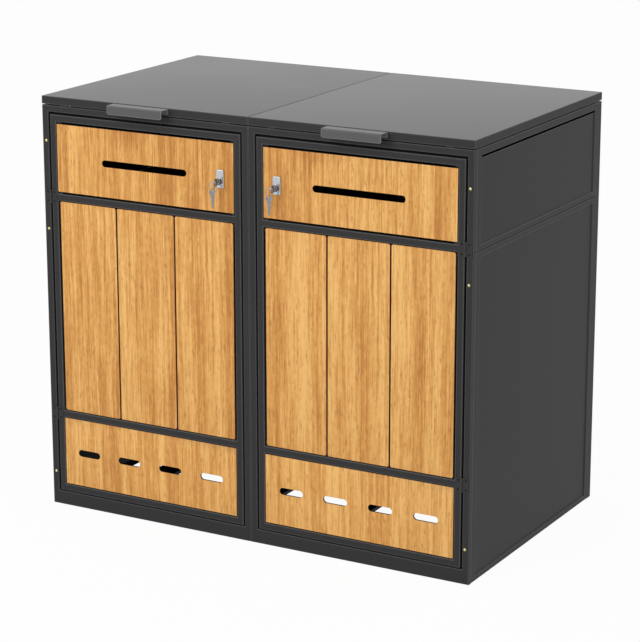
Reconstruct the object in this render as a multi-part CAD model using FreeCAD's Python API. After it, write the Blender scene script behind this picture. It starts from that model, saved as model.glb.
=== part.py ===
import FreeCAD, Part
import math
import os

# Double wheelie bin store: two sheet steel units bolted side by side, each with a lid hinged at the rear,
# a wood-filled door hinged at its outer side, and a key-operated bolt lock.
# Millimetres. X runs left to right, Y front to back, Z up from the ground.
# The left unit is modelled and mirrored about X = 0; keys and lid handles are not mirrored.

# Driving dimensions
width = 1320.0            # outside, both units
depth = 800.0             # front face to rear face of the cabinet
height = 1180.0           # ground to the top of the lids
sheet = 1.5               # frame and lid sheet
skin = 1.2                # panel sheet
fold_radius = 2.0         # outside radius of the folded edges
edge_share = 0.8          # of the wall, taken off along a pressed or welded edge
beyond = 1.0              # how far a cutter reaches past what it cuts

# Clearances
seat = 0.3                # between a moving or inserted piece and what it rests on
lid_seam = 1.5            # between the two lids
lid_gap = 3.0             # between the frames and the lid skirts
hinge_gap = 6.0           # door edge to stile, hinge side
lock_gap = 5.0            # door edge to stile, lock side
door_gap_top = 7.0
door_gap_bottom = 3.5
pin_play = 0.05           # radial play of a pin or plug in its bore
knuckle_clear = 0.5       # a leaf's edge beside the other leaf's knuckles

# Front and rear frames
stile = 20.0
top_rail = 18.0
bottom_rail = 40.0
front_return = 13.0       # how far the front frame's outer fold wraps round the side
rear_return = 28.0
inner_return = 22.0       # depth of the fold round the opening
stop_lip = 10.0           # lip behind the door
lid_height = 22.0

# Side and rear cassettes
split_drop = 265.0        # from the frames' top down to the joint between lower and upper panels
split_gap = 2.0
strip = 15.0              # flat border round the recessed field
front_strip = 25.0
head_strip = 19.0
recess = 3.0
air_gap = 7.0             # ventilation gap under the head strip

# Centre rail, floor ties and the bolts that join the units
gutter_width = 32.0
gutter_clear = 0.5        # below the frames' top
tie_width = 70.0
tie_height = 10.0
tie_inset = 145.0         # from a unit's side to the middle of its tie
anchor_radius = 4.5       # ground anchor holes in the outer ties
anchor_spacing = 640.0    # front hole to rear hole
bolt_neck = 5.0           # square neck in a square hole
bolt_head_radius = 4.4
bolt_head = 3.5
bolt_nut = 4.0
joining_rise = 150.0      # lowest bolts above the ground
joining_drop = 70.0       # highest bolts below the frames' top

# Rivets and buffers
rivet_radius = 4.2
rivet_height = 2.6
rivet_sides = 16
rivet_dome = ((0.0, 1.0), (0.6, 0.8), (1.0, 0.4))   # shares of the height and of the radius
rivet_inset = 12.0
rivet_rise = 97.0         # lowest rivets above the ground
rivet_drops = (99.0, 348.0)   # upper rivets below the frames' top
door_buffer_width = 5.0
door_buffer_height = 12.0
door_buffer_inset = 57.0  # from the door's top and bottom
lid_buffer_length = 24.0
lid_buffer_width = 9.0
lid_buffer_inset = 70.0

# Door frame and its wood
tube = 19.0               # face width of the door frame's tubes
tube_depth = 18.0
tube_wall = 1.5
upper_bar_drop = 230.5    # door's top to the middle of the upper crossbar
lower_bar_rise = 229.5    # door's bottom to the middle of the lower crossbar
ledge = 3.0               # flats behind the wood
ledge_reach = 12.0        # how far a flat stands into its bay
wood = 5.0                # thickness of panels and boards
panel_recess = 0.6
panel_side_gap = 1.2
panel_end_gap = 5.5
vent_end_gap = 2.2
board_recess = 2.2
board_side_gap = 5.4
board_end_gap = 1.8
board_joint = 2.5
board_count = 3
board_corner = 4.0
wood_edge = 1.0

# Slots
letter_slot_length = 272.0
letter_slot_height = 19.0
letter_slot_drop = 1.0    # below the middle of the letter bay
vent_slot_length = 72.0
vent_slot_height = 19.0
vent_slot_pitch = 135.5
vent_slot_count = 4

# Door hinges
leaf_thickness = 1.5
leaf_width = 16.0
leaf_height = 39.0
knuckle_radius = 2.8
knuckle_sides = 16
pin_radius = 1.5
axis_forward = 2.0        # hinge axis in front of the door's face

# Lid hinges
lid_leaf_width = 440.0
lid_leaf_height = 17.0
lid_knuckle_radius = 3.5
lid_pin_radius = 2.0
lid_stop_angle = 100.0
stop_reach = 16.0         # stop gussets behind the hinge axis
stop_thickness = 3.0
stop_nose = 4.0           # upright end of a gusset

# Lock and bolt
lock_inset = 62.0         # plug's axis from the door's lock edge
lock_drop = 10.5          # plug's axis below the middle of the letter bay
lock_plate_width = 24.0
lock_plate_height = 50.0
lock_plate_thickness = 4.0
lock_plate_corner = 5.0
lock_plate_edge = 1.0
lock_plate_rise = 6.0     # plate's middle above the plug's axis
housing_radius = 9.0      # round housing of the plug, in front of the plate
housing_proud = 7.0
neck_width = 15.0         # square neck through the wood
plug_radius = 6.0
plug_depth = 22.0
case_left = 22.0
case_right = 28.0
case_half_height = 22.0
case_wall = 1.4
bolt_rise = 6.5           # bolt above the plug's axis
lock_bolt_height = 10.0
lock_bolt_thickness = 5.0
lock_bolt_clear = 0.8     # bolt behind the stop lip
lock_bolt_shy = 1.5       # withdrawn bolt beside the stop lip
lock_bolt_guide = 7.0     # what stays in the case when the bolt is thrown
lock_bolt_travel = 12.0
lock_bolt_nose = 0.8

# Keys
key_thickness = 2.0
key_sides = 24
blade_height = 7.0
keyway_play = 0.1
bow_radius = 11.0
bow_gap = 1.2             # between the housing and the bow
key_hole_radius = 4.0
key_hole_offset = 5.5     # ring hole in front of the bow's middle
ring_radius = 10.0        # to the middle of the wire
ring_wire = 0.8           # half the wire's square section
ring_sides = 24
spare_hole_radius = 3.5
spare_bow_radius = 9.0
spare_hole_offset = 5.0
spare_root = 5.5          # half width of the blade at the bow
spare_end = 2.2           # and at the tip
spare_length = 50.0       # ring hole to tip
spare_twist = 40.0

# Lid handles and stiffeners
handle_length = 174.0
handle_reach = 36.0
handle_drop = 24.5
handle_below_top = 1.6
handle_sheet = 2.0
handle_leg = 15.0
handle_bend = 3.5
handle_corner = 6.0
handle_shift = -4.0       # both handles sit slightly left of their lid's middle
lid_hem = 12.0
stiffener_width = 60.0
stiffener_height = 14.0
stiffener_foot = 15.0
stiffener_slope = 4.0
stiffener_clear = 30.0

V = FreeCAD.Vector
AXIS_X = V(1, 0, 0)
AXIS_Y = V(0, 1, 0)
AXIS_Z = V(0, 0, 1)

# Places worked out from the dimensions
half = width / 2.0
axis_behind = lid_knuckle_radius
rear_reach = axis_behind + stop_reach
y_front = -(depth + rear_reach - handle_reach) / 2.0
y_back = y_front + depth
frame_top = height - lid_height - lid_gap
split_height = frame_top - split_drop
flange = stile - sheet - seat
opening = (-half + stile, -stile, bottom_rail, frame_top - top_rail)
door = (opening[0] + hinge_gap, opening[1] - lock_gap,
        opening[2] + door_gap_bottom, opening[3] - door_gap_top)
door_middle = (door[0] + door[1]) / 2.0
upper_bar_height = door[3] - upper_bar_drop
lower_bar_height = door[2] + lower_bar_rise
letter_bay_middle = (upper_bar_height + tube / 2.0 + door[3] - tube) / 2.0
vent_bay_middle = (door[2] + tube + lower_bar_height - tube / 2.0) / 2.0
door_axis = (opening[0] + hinge_gap / 2.0, y_front - axis_forward)
lid_axis = (y_back + axis_behind, frame_top + lid_gap / 2.0)
joining_heights = (joining_rise, (joining_rise + frame_top - joining_drop) / 2.0, frame_top - joining_drop)
rivet_heights = (rivet_rise, frame_top - rivet_drops[1], frame_top - rivet_drops[0])

# The lock, from front to back
lock_x = door[1] - lock_inset
lock_height = letter_bay_middle - lock_drop
plate_front = panel_recess - lock_plate_thickness
housing_front = plate_front - housing_proud
wood_back = panel_recess + wood
bolt_front = inner_return + sheet + lock_bolt_clear
bolt_back = bolt_front + lock_bolt_thickness
case_back = bolt_back + seat + case_wall
bolt_z = lock_height + bolt_rise
bow_middle = housing_front - bow_gap - bow_radius
key_hole = bow_middle - key_hole_offset

# The ring leans halfway between the upright key and the turned one, with its inner rim on the key's hole
half_key = key_thickness / 2.0
ring_inner = ring_radius - ring_wire
hole_floor = math.sqrt(key_hole_radius ** 2 - ring_wire ** 2) - seat
ring_reach = math.sqrt(2.0 * ring_inner ** 2 - (hole_floor + half_key) ** 2)
ring_offset = (hole_floor - half_key + ring_reach) / 2.0


def rectangle(area, y):
    """Closed wire round (x0, x1, z0, z1) in the plane at depth y."""
    x0, x1, z0, z1 = area
    return Part.makePolygon([V(x0, y, z0), V(x1, y, z0), V(x1, y, z1), V(x0, y, z1), V(x0, y, z0)])


def grow(area, by):
    return (area[0] - by, area[1] + by, area[2] - by, area[3] + by)


def plate(area, y0, y1, holes=()):
    """Flat plate with rectangular openings, extruded from depth y0 to y1."""
    wires = [rectangle(area, y0)] + [rectangle(hole, y0) for hole in holes]
    face = Part.makeFace(wires, "Part::FaceMakerBullseye")
    return face.extrude(V(0, y1 - y0, 0))


def block(x0, x1, y0, y1, z0, z1):
    return Part.makeBox(x1 - x0, y1 - y0, z1 - z0, V(x0, y0, z0))


def fuse(shapes):
    joined = shapes[0].fuse(shapes[1:])
    return joined.removeSplitter()


def mirrored(shape):
    """The matching piece of the right unit."""
    return shape.mirror(V(0, 0, 0), AXIS_X)


def rounded(shape, radius, wanted):
    return shape.makeFillet(radius, [edge for edge in shape.Edges if wanted(edge)])


def eased(shape, size, wanted):
    return shape.makeChamfer(size, [edge for edge in shape.Edges if wanted(edge)])


def lies_at_depth(y):
    """Picks the edges that lie in the plane at depth y."""
    def wanted(edge):
        box = edge.BoundBox
        return abs(box.YMin - y) < 1e-4 and abs(box.YMax - y) < 1e-4
    return wanted


def runs_back(edge):
    return edge.BoundBox.YLength > 1


def stadium(middle_x, middle_z, length, rise, y0, y1):
    """Through cutter with round ends, lying along X."""
    radius = rise / 2.0
    run = length / 2.0 - radius
    left = middle_x - run
    right = middle_x + run
    low = middle_z - radius
    high = middle_z + radius
    edges = [
        Part.LineSegment(V(left, y0, low), V(right, y0, low)).toShape(),
        Part.Arc(V(right, y0, low), V(right + radius, y0, middle_z), V(right, y0, high)).toShape(),
        Part.LineSegment(V(right, y0, high), V(left, y0, high)).toShape(),
        Part.Arc(V(left, y0, high), V(left - radius, y0, middle_z), V(left, y0, low)).toShape(),
    ]
    return Part.Face(Part.Wire(edges)).extrude(V(0, y1 - y0, 0))


def regular(radius, sides, centre, across, up):
    """Closed wire of a regular polygon round centre, in the plane of two unit directions."""
    points = []
    for i in range(sides + 1):
        angle = 2.0 * math.pi * (i % sides) / sides
        points.append(centre + across * (radius * math.cos(angle)) + up * (radius * math.sin(angle)))
    return Part.makePolygon(points)


# Frames

def folded_frame(outer_return, lip):
    """Ring of folded sheet round the opening: face, outer fold, inner fold and stop lip."""
    outside = (-half, 0.0, 0.0, frame_top)
    parts = [
        plate(outside, 0, sheet, [opening]),
        plate(outside, 0, outer_return, [grow(outside, -sheet)]),
        plate(grow(opening, sheet), 0, inner_return, [opening]),
    ]
    if lip:
        rim = grow(opening, sheet)
        doorway = block(opening[0] + stop_lip, opening[1] - stop_lip, 0, depth, 0, opening[3] - stop_lip)
        parts.append(plate(rim, inner_return, inner_return + sheet).cut(doorway))
    ring = fuse(parts)
    return rounded(ring, fold_radius, lies_at_depth(0))


def joining_holes(middle):
    """Square holes for the bolt necks through the centre fold."""
    reach = bolt_neck / 2.0 + seat
    return [block(-2 * sheet, 2 * sheet, middle - reach, middle + reach, z - reach, z + reach)
            for z in joining_heights]


def front_frame():
    ring = folded_frame(front_return, True)
    ring = ring.cut(joining_holes(front_return / 2.0))
    ring.translate(V(0, y_front, 0))
    return ring


def rear_frame():
    ring = folded_frame(rear_return, False)
    ring = ring.cut(joining_holes(rear_return / 2.0))
    ring = ring.mirror(V(0, 0, 0), AXIS_Y)
    ring.translate(V(0, y_back, 0))
    return ring


def joining_bolts():
    """Hexagon bolts with square necks and their nuts, clamping the two centre folds together."""
    reach = bolt_neck / 2.0
    head_end = regular(bolt_head_radius, 6, V(-sheet, 0, 0), AXIS_Y, AXIS_Z)
    head = Part.Face(head_end).extrude(V(-bolt_head, 0, 0))
    nut_end = regular(bolt_head_radius, 6, V(sheet, 0, 0), AXIS_Y, AXIS_Z)
    nut = Part.Face(nut_end).extrude(V(bolt_nut, 0, 0))
    bolt = fuse([head, block(-sheet, sheet, -reach, reach, -reach, reach), nut])
    placed = []
    for y in (y_front + front_return / 2.0, y_back - rear_return / 2.0):
        for z in joining_heights:
            copy = bolt.copy()
            copy.translate(V(0, y, z))
            placed.append(copy)
    return placed


def cassette(across, up, left, right, bottom, top, gap=0.0):
    """Pressed panel with a flat border, a recessed field and a stiffening flange all round.

    Its outer face is at Y = 0 and it reaches inwards along +Y.
    """
    outline = (0.0, across, 0.0, up)
    field = (left, across - right, bottom, up - top)
    parts = [
        plate(outline, 0, skin, [field]),
        plate(outline, 0, flange, [grow(outline, -skin)]),
        plate(grow(field, skin), 0, recess + skin, [field]),
        plate(grow(field, skin), recess, recess + skin),
    ]
    panel = fuse(parts)
    if gap > 0:
        panel = panel.cut(block(field[0], field[1], skin, recess + skin + beyond,
                                field[3] - gap, field[3] + skin + beyond))
    return eased(panel, skin * edge_share, lies_at_depth(0))


def side_panels():
    """Lower and upper cassettes of the left side, from the front fold to the rear fold."""
    start = front_return + seat
    across = depth - start - rear_return - seat
    lower = cassette(across, split_height - split_gap / 2.0, strip, front_strip, strip, strip)
    rise = split_height + split_gap / 2.0
    upper = cassette(across, frame_top - rise, strip, front_strip, strip, head_strip, air_gap)
    upper.translate(V(0, 0, rise))
    placed = []
    for panel in (lower, upper):
        panel.rotate(V(0, 0, 0), AXIS_Z, -90)
        panel.translate(V(-half, y_front + start + across, 0))
        placed.append(panel)
    return placed


def rear_panels():
    """Lower and upper cassettes that fill the left rear frame."""
    across = opening[1] - opening[0] - 2 * seat
    low = opening[2] + seat
    lower = cassette(across, split_height - split_gap / 2.0 - low, strip, strip, strip, strip)
    lower.translate(V(0, 0, low))
    rise = split_height + split_gap / 2.0
    upper = cassette(across, opening[3] - seat - rise, strip, strip, strip, strip)
    upper.translate(V(0, 0, rise))
    placed = []
    for panel in (lower, upper):
        panel.rotate(V(0, 0, 0), AXIS_Z, 180)
        panel.translate(V(opening[1] - seat, y_back, 0))
        placed.append(panel)
    return placed


def centre_gutter_rail():
    """Open channel under the lid seam, resting on the folds of the front and rear top rails."""
    low = opening[3] + sheet
    high = frame_top - gutter_clear
    wide = gutter_width / 2.0
    front = y_front + front_return + seat
    rear = y_back - rear_return - seat
    section = Part.makePolygon([
        V(-wide, front, low), V(wide, front, low), V(wide, front, high), V(wide - skin, front, high),
        V(wide - skin, front, low + skin), V(-wide + skin, front, low + skin),
        V(-wide + skin, front, high), V(-wide, front, high), V(-wide, front, low)])
    return Part.Face(section).extrude(V(0, rear - front, 0))


def floor_ties():
    """Low channels on the ground that tie each unit's front rail to its rear rail."""
    front = y_front + front_return
    rear = y_back - rear_return
    wide = tie_width / 2.0
    section = Part.makePolygon([
        V(-wide, front, 0), V(-wide, front, tie_height), V(wide, front, tie_height), V(wide, front, 0),
        V(wide - sheet, front, 0), V(wide - sheet, front, tie_height - sheet),
        V(-wide + sheet, front, tie_height - sheet), V(-wide + sheet, front, 0), V(-wide, front, 0)])
    tie = Part.Face(section).extrude(V(0, rear - front, 0))
    centre = (y_front + y_back) / 2.0
    holes = [Part.makeCylinder(anchor_radius, tie_height + 2 * beyond,
                               V(0, centre + side * anchor_spacing / 2.0, -beyond), AXIS_Z)
             for side in (-1, 1)]
    anchored = tie.cut(holes)
    outer = -half + tie_inset
    inner = -tie_inset
    ties = []
    for piece, middle in ((anchored, outer), (tie, inner)):
        placed = piece.copy()
        placed.translate(V(middle, 0, 0))
        ties += [placed, mirrored(placed)]
    return ties


def front_rivets():
    """Domed brass rivets down the outer stiles."""
    domes = []
    for side in (-1, 1):
        for z in rivet_heights:
            centre = V(side * (half - rivet_inset), y_front, z)
            rings = [regular(rivet_radius * share, rivet_sides, centre - AXIS_Y * (rivet_height * rise),
                             AXIS_X, AXIS_Z) for rise, share in rivet_dome]
            domes.append(Part.makeLoft(rings, True, True))
    return domes


def door_buffers():
    """Rubber pads on the stop lip behind each door's lock side."""
    front = y_front + tube_depth + seat
    back = y_front + inner_return
    left = opening[1] - stop_lip + seat
    pads = []
    for z in (door[2] + door_buffer_inset, door[3] - door_buffer_inset):
        pad = block(left, left + door_buffer_width, front, back, z, z + door_buffer_height)
        pads += [pad, mirrored(pad)]
    return pads


def lid_buffers():
    """Rubber pads on the front top rails that the lids rest on."""
    middle = y_front + front_return / 2.0
    long = lid_buffer_length / 2.0
    wide = lid_buffer_width / 2.0
    pads = []
    for x in (-half + lid_buffer_inset, -lid_buffer_inset):
        pad = block(x - long, x + long, middle - wide, middle + wide, frame_top, frame_top + lid_gap - seat)
        pads += [pad, mirrored(pad)]
    return pads


# Hinges

def knuckle_spans(length, count):
    """Start and end of each knuckle along the pin, with a small gap between neighbours."""
    pitch = length / count
    play = seat / 2.0
    return [(i * pitch + (play if i else 0.0), (i + 1) * pitch - (play if i < count - 1 else 0.0))
            for i in range(count)]


def rod(radius, low, high):
    """Many-sided rod along Z, as the knuckles are rolled."""
    end = regular(radius, knuckle_sides, V(0, 0, low), AXIS_X, AXIS_Y)
    return Part.Face(end).extrude(V(0, 0, high - low))


def hinge_leaf(side, spans, length, across, thick, radius, bore, back):
    """Leaf on one side of a pin along Z, with its own knuckles; the leaf lies against Y = back."""
    clear = radius + knuckle_clear
    inner = sorted((side * clear, side * across))
    parts = [block(inner[0], inner[1], back - thick, back, 0, length)]
    for low, high in spans:
        tab = sorted((0.0, side * clear))
        parts.append(block(tab[0], tab[1], back - thick, back, low, high))
        parts.append(rod(radius, low, high))
    leaf = fuse(parts)
    return leaf.cut(rod(bore / math.cos(math.pi / knuckle_sides), -beyond, length + beyond))


def door_hinge_pieces():
    """Frame leaves, door leaves and pins of the left door's two hinges."""
    spans = knuckle_spans(leaf_height, 3)
    across = hinge_gap / 2.0 + leaf_width
    bore = pin_radius + pin_play
    frame_leaf = hinge_leaf(-1, [spans[0], spans[2]], leaf_height, across, leaf_thickness,
                            knuckle_radius, bore, axis_forward)
    door_leaf = hinge_leaf(1, [spans[1]], leaf_height, across, leaf_thickness,
                           knuckle_radius, bore, axis_forward)
    pin = Part.makeCylinder(pin_radius, leaf_height, V(0, 0, 0), AXIS_Z)
    groups = []
    for piece in (frame_leaf, door_leaf, pin):
        placed = []
        for z in (lower_bar_height, upper_bar_height):
            copy = piece.copy()
            copy.translate(V(door_axis[0], door_axis[1], z - leaf_height / 2.0))
            placed.append(copy)
        groups.append(placed)
    return groups


def stop_gusset(x):
    """Web under the hinge axis that the open lid's leaf comes to rest on."""
    angle = math.radians(lid_stop_angle - 90.0)
    back = -axis_behind
    near = lid_knuckle_radius + knuckle_clear
    rise = opening[3] + seat - lid_axis[1]
    lift = (axis_behind - leaf_thickness) - seat
    top_near = lift / math.cos(angle) - near * math.tan(angle)
    top_far = lift / math.cos(angle) - stop_reach * math.tan(angle)
    outline = Part.makePolygon([
        V(x, back, rise), V(x, back, -near), V(x, near, -near), V(x, near, top_near),
        V(x, stop_reach, top_far), V(x, stop_reach, top_far - stop_nose), V(x, back, rise)])
    return Part.Face(outline).extrude(V(stop_thickness, 0, 0))


def lid_hinge_pieces():
    """Frame leaf, lid leaf and pin of the left lid's long hinge."""
    spans = knuckle_spans(lid_leaf_width, 3)
    bore = lid_pin_radius + pin_play
    across = lid_gap / 2.0 + lid_leaf_height
    lid_leaf = hinge_leaf(1, [spans[1]], lid_leaf_width, across, leaf_thickness,
                          lid_knuckle_radius, bore, axis_behind)
    frame_leaf = hinge_leaf(-1, [spans[0], spans[2]], lid_leaf_width, across, leaf_thickness,
                            lid_knuckle_radius, bore, axis_behind)
    pin = Part.makeCylinder(lid_pin_radius, lid_leaf_width, V(0, 0, 0), AXIS_Z)
    turn = FreeCAD.Rotation(V(0, 0, 1), V(0, -1, 0), V(1, 0, 0), "XYZ")
    groups = []
    for piece in (frame_leaf, lid_leaf, pin):
        piece.Placement = FreeCAD.Placement(V(0, 0, 0), turn)
        if piece is frame_leaf:
            piece = fuse([piece, stop_gusset(0.0), stop_gusset(lid_leaf_width - stop_thickness)])
        piece.translate(V(-half / 2.0 - lid_leaf_width / 2.0, lid_axis[0], lid_axis[1]))
        groups.append([piece])
    return groups


# Doors

def door_bays():
    """Openings of the door frame, from the bottom: vent bay, board bay and letter bay."""
    left = door[0] + tube
    right = door[1] - tube
    rise = tube / 2.0
    return [
        (left, right, door[2] + tube, lower_bar_height - rise),
        (left, right, lower_bar_height + rise, upper_bar_height - rise),
        (left, right, upper_bar_height + rise, door[3] - tube),
    ]


def side_ledges(bay):
    """Upright flats at the left and right of a bay, that its panel is screwed to from behind."""
    left, right, low, high = bay
    lap = tube_wall / 2.0
    return [block(left - lap, left + ledge_reach, wood_back, wood_back + ledge, low, high),
            block(right - ledge_reach, right + lap, wood_back, wood_back + ledge, low, high)]


def end_ledges(bay):
    """Flats along the top and bottom of a bay, that its boards are screwed to from behind."""
    left, right, low, high = bay
    lap = tube_wall / 2.0
    front = board_recess + wood
    return [block(left, right, front, front + ledge, low - lap, low + ledge_reach),
            block(left, right, front, front + ledge, high - ledge_reach, high + lap)]


def door_frame():
    """Welded tube frame with two crossbars, and flats inside its bays to carry the wood."""
    bays = door_bays()
    tubes = plate(door, 0, tube_depth, bays)
    tubes = eased(tubes, tube_wall * edge_share, lies_at_depth(0))
    hollow = plate(grow(door, -tube_wall), tube_wall, tube_depth - tube_wall,
                   [grow(bay, tube_wall) for bay in bays])
    frame = fuse([tubes.cut(hollow)] + side_ledges(bays[0]) + end_ledges(bays[1]) + side_ledges(bays[2]))
    frame.translate(V(0, y_front, 0))
    return frame


def wood_piece(area, front, corner, cutters):
    """Board or panel with softened front edges."""
    piece = plate(area, front, front + wood)
    if corner > 0:
        piece = eased(piece, corner, runs_back)
    piece = eased(piece, wood_edge, lies_at_depth(front))
    if cutters:
        piece = piece.cut(cutters)
    piece.translate(V(0, y_front, 0))
    return piece


def letter_panel():
    left, right, low, high = door_bays()[2]
    area = (left + panel_side_gap, right - panel_side_gap, low + panel_end_gap, high - panel_end_gap)
    slot_middle = letter_bay_middle - letter_slot_drop
    slot = stadium(door_middle, slot_middle, letter_slot_length, letter_slot_height,
                   -beyond, wood_back + beyond)
    reach = neck_width / 2.0 + seat
    neck = block(lock_x - reach, lock_x + reach, -beyond, wood_back + beyond,
                 lock_height - reach, lock_height + reach)
    return wood_piece(area, panel_recess, 0, [slot, neck])


def vent_panel():
    left, right, low, high = door_bays()[0]
    area = (left + panel_side_gap, right - panel_side_gap, low + vent_end_gap, high - vent_end_gap)
    first = door_middle - vent_slot_pitch * (vent_slot_count - 1) / 2.0
    slots = [stadium(first + i * vent_slot_pitch, vent_bay_middle, vent_slot_length, vent_slot_height,
                     -beyond, wood_back + beyond) for i in range(vent_slot_count)]
    return wood_piece(area, panel_recess, 0, slots)


def door_boards():
    """Upright boards side by side, set a little deeper than the panels."""
    left, right, low, high = door_bays()[1]
    left += board_side_gap
    right -= board_side_gap
    each = (right - left - (board_count - 1) * board_joint) / board_count
    boards = []
    for i in range(board_count):
        start = left + i * (each + board_joint)
        area = (start, start + each, low + board_end_gap, high - board_end_gap)
        boards.append(wood_piece(area, board_recess, board_corner, []))
    return boards


# Locks and keys

def lock_body():
    """Face plate with the plug's round housing, neck through the wood and case behind it."""
    middle = lock_height + lock_plate_rise
    wide = lock_plate_width / 2.0
    tall = lock_plate_height / 2.0
    face = plate((lock_x - wide, lock_x + wide, middle - tall, middle + tall), plate_front, panel_recess)
    face = rounded(face, lock_plate_corner, runs_back)
    face = eased(face, lock_plate_edge, lies_at_depth(plate_front))
    housing = Part.makeCylinder(housing_radius, panel_recess - housing_front,
                                V(lock_x, housing_front, lock_height), AXIS_Y)
    reach = neck_width / 2.0
    neck = block(lock_x - reach, lock_x + reach, panel_recess, wood_back,
                 lock_height - reach, lock_height + reach)
    case = block(lock_x - case_left, lock_x + case_right, wood_back, case_back,
                 lock_height - case_half_height, lock_height + case_half_height)
    body = fuse([face, housing, neck, case])
    bore = Part.makeCylinder(plug_radius + pin_play, plug_depth + seat,
                             V(lock_x, housing_front, lock_height), AXIS_Y)
    case_end = lock_x + case_right
    channel = block(case_end - lock_bolt_guide - lock_bolt_travel - seat, case_end + beyond,
                    bolt_front - seat, bolt_back + seat,
                    bolt_z - lock_bolt_height / 2.0 - seat, bolt_z + lock_bolt_height / 2.0 + seat)
    body = body.cut([bore, channel])
    body.translate(V(0, y_front, 0))
    return body


def lock_bolt():
    """Flat bolt, withdrawn beside the stop lip, that the key throws behind the lip."""
    start = lock_x + case_right - lock_bolt_guide - lock_bolt_travel
    end = opening[1] - stop_lip - lock_bolt_shy
    bolt = block(start, end, bolt_front, bolt_back,
                 bolt_z - lock_bolt_height / 2.0, bolt_z + lock_bolt_height / 2.0)
    nose = [edge for edge in bolt.Edges
            if abs(edge.BoundBox.XMin - end) < 1e-4 and abs(edge.BoundBox.XMax - end) < 1e-4]
    bolt = bolt.makeChamfer(lock_bolt_nose, nose)
    bolt.translate(V(0, y_front, 0))
    return bolt


def lock_plug(x):
    """Plug with its keyway, flush with the housing's face."""
    plug = Part.makeCylinder(plug_radius, plug_depth, V(0, housing_front, 0), AXIS_Y)
    wide = key_thickness / 2.0 + keyway_play
    tall = blade_height / 2.0 + keyway_play
    keyway = block(-wide, wide, housing_front - beyond, housing_front + plug_depth + beyond, -tall, tall)
    plug = plug.cut(keyway)
    plug.translate(V(x, y_front, lock_height))
    return plug


def key_outline(middle, bow, hole, hole_radius, root, end, tip):
    """Flat key in the Y, Z plane: bow round Y = middle, ring hole, and a blade along +Y to the tip."""
    back = -key_thickness / 2.0
    through = V(key_thickness, 0, 0)
    disc = Part.Face(regular(bow, key_sides, V(back, middle, 0), AXIS_Y, AXIS_Z)).extrude(through)
    shaft = Part.Face(Part.makePolygon([
        V(back, middle, -root), V(back, middle, root), V(back, tip - end, end), V(back, tip, end / 3.0),
        V(back, tip, -end / 3.0), V(back, tip - end, -end), V(back, middle, -root)])).extrude(through)
    ring_hole = regular(hole_radius, key_sides, V(2 * back, hole, 0), AXIS_Y, AXIS_Z)
    cutter = Part.Face(ring_hole).extrude(through * 2)
    return fuse([disc, shaft]).cut(cutter)


def key(x):
    """Key standing in the plug with its bow towards the user."""
    tip = housing_front + plug_depth - key_thickness
    piece = key_outline(bow_middle, bow_radius, key_hole, key_hole_radius,
                        blade_height / 2.0, blade_height / 2.0, tip)
    piece.translate(V(x, y_front, lock_height))
    return piece


def ring_middle(x):
    """Middle of the split ring, which hangs through the bow's hole and leans to the left."""
    return V(x - ring_offset, y_front + key_hole, lock_height - ring_offset)


def key_ring(x):
    """Flat ring of square wire."""
    centre = ring_middle(x) - AXIS_Y * ring_wire
    rims = [regular(ring_radius + side * ring_wire, ring_sides, centre, AXIS_X, AXIS_Z) for side in (1, -1)]
    return Part.makeFace(rims, "Part::FaceMakerBullseye").extrude(AXIS_Y * (2 * ring_wire))


def spare_key(x):
    """Second key hanging on the ring, turned about the upright."""
    grip = spare_hole_radius - ring_wire * math.sqrt(2.0) - seat
    piece = key_outline(spare_hole_offset, spare_bow_radius, 0.0, spare_hole_radius,
                        spare_root, spare_end, spare_length)
    piece.rotate(V(0, 0, 0), AXIS_X, -90)
    piece.rotate(V(0, 0, 0), AXIS_Z, -spare_twist)
    middle = ring_middle(x)
    piece.translate(V(middle.x, middle.y, middle.z - ring_radius - grip))
    return piece


# Lids

def lid():
    """Folded tray with rounded top folds and a hem turned in round the skirt."""
    x0 = -half
    x1 = -lid_seam / 2.0
    low = height - lid_height
    tray = block(x0, x1, y_front, y_back, low, height)
    tray = rounded(tray, fold_radius, lambda edge: edge.BoundBox.ZMin > height - 1e-4)
    inside = block(x0 + sheet, x1 - sheet, y_front + sheet, y_back - sheet, low + sheet, height - sheet)
    mouth = block(x0 + lid_hem, x1 - lid_hem, y_front + lid_hem, y_back - lid_hem,
                  low - beyond, low + 2 * sheet)
    return tray.cut([inside, mouth])


def lid_stiffener():
    """Hat section spot welded under the lid from side to side."""
    top = height - sheet
    low = top - stiffener_height
    start = -half + stiffener_clear
    wide = stiffener_width / 2.0
    foot = wide - stiffener_foot
    crown = foot - stiffener_slope
    middle = (y_front + y_back) / 2.0
    side = [(wide, top), (wide, top - skin), (foot + skin, top - skin), (crown + skin, low),
            (-crown - skin, low), (-foot - skin, top - skin), (-wide, top - skin), (-wide, top),
            (-foot, top), (-crown, low + skin), (crown, low + skin), (foot, top)]
    points = [V(start, middle + y, z) for y, z in side]
    points.append(points[0])
    return Part.Face(Part.makePolygon(points)).extrude(V(half - 2 * stiffener_clear, 0, 0))


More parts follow.
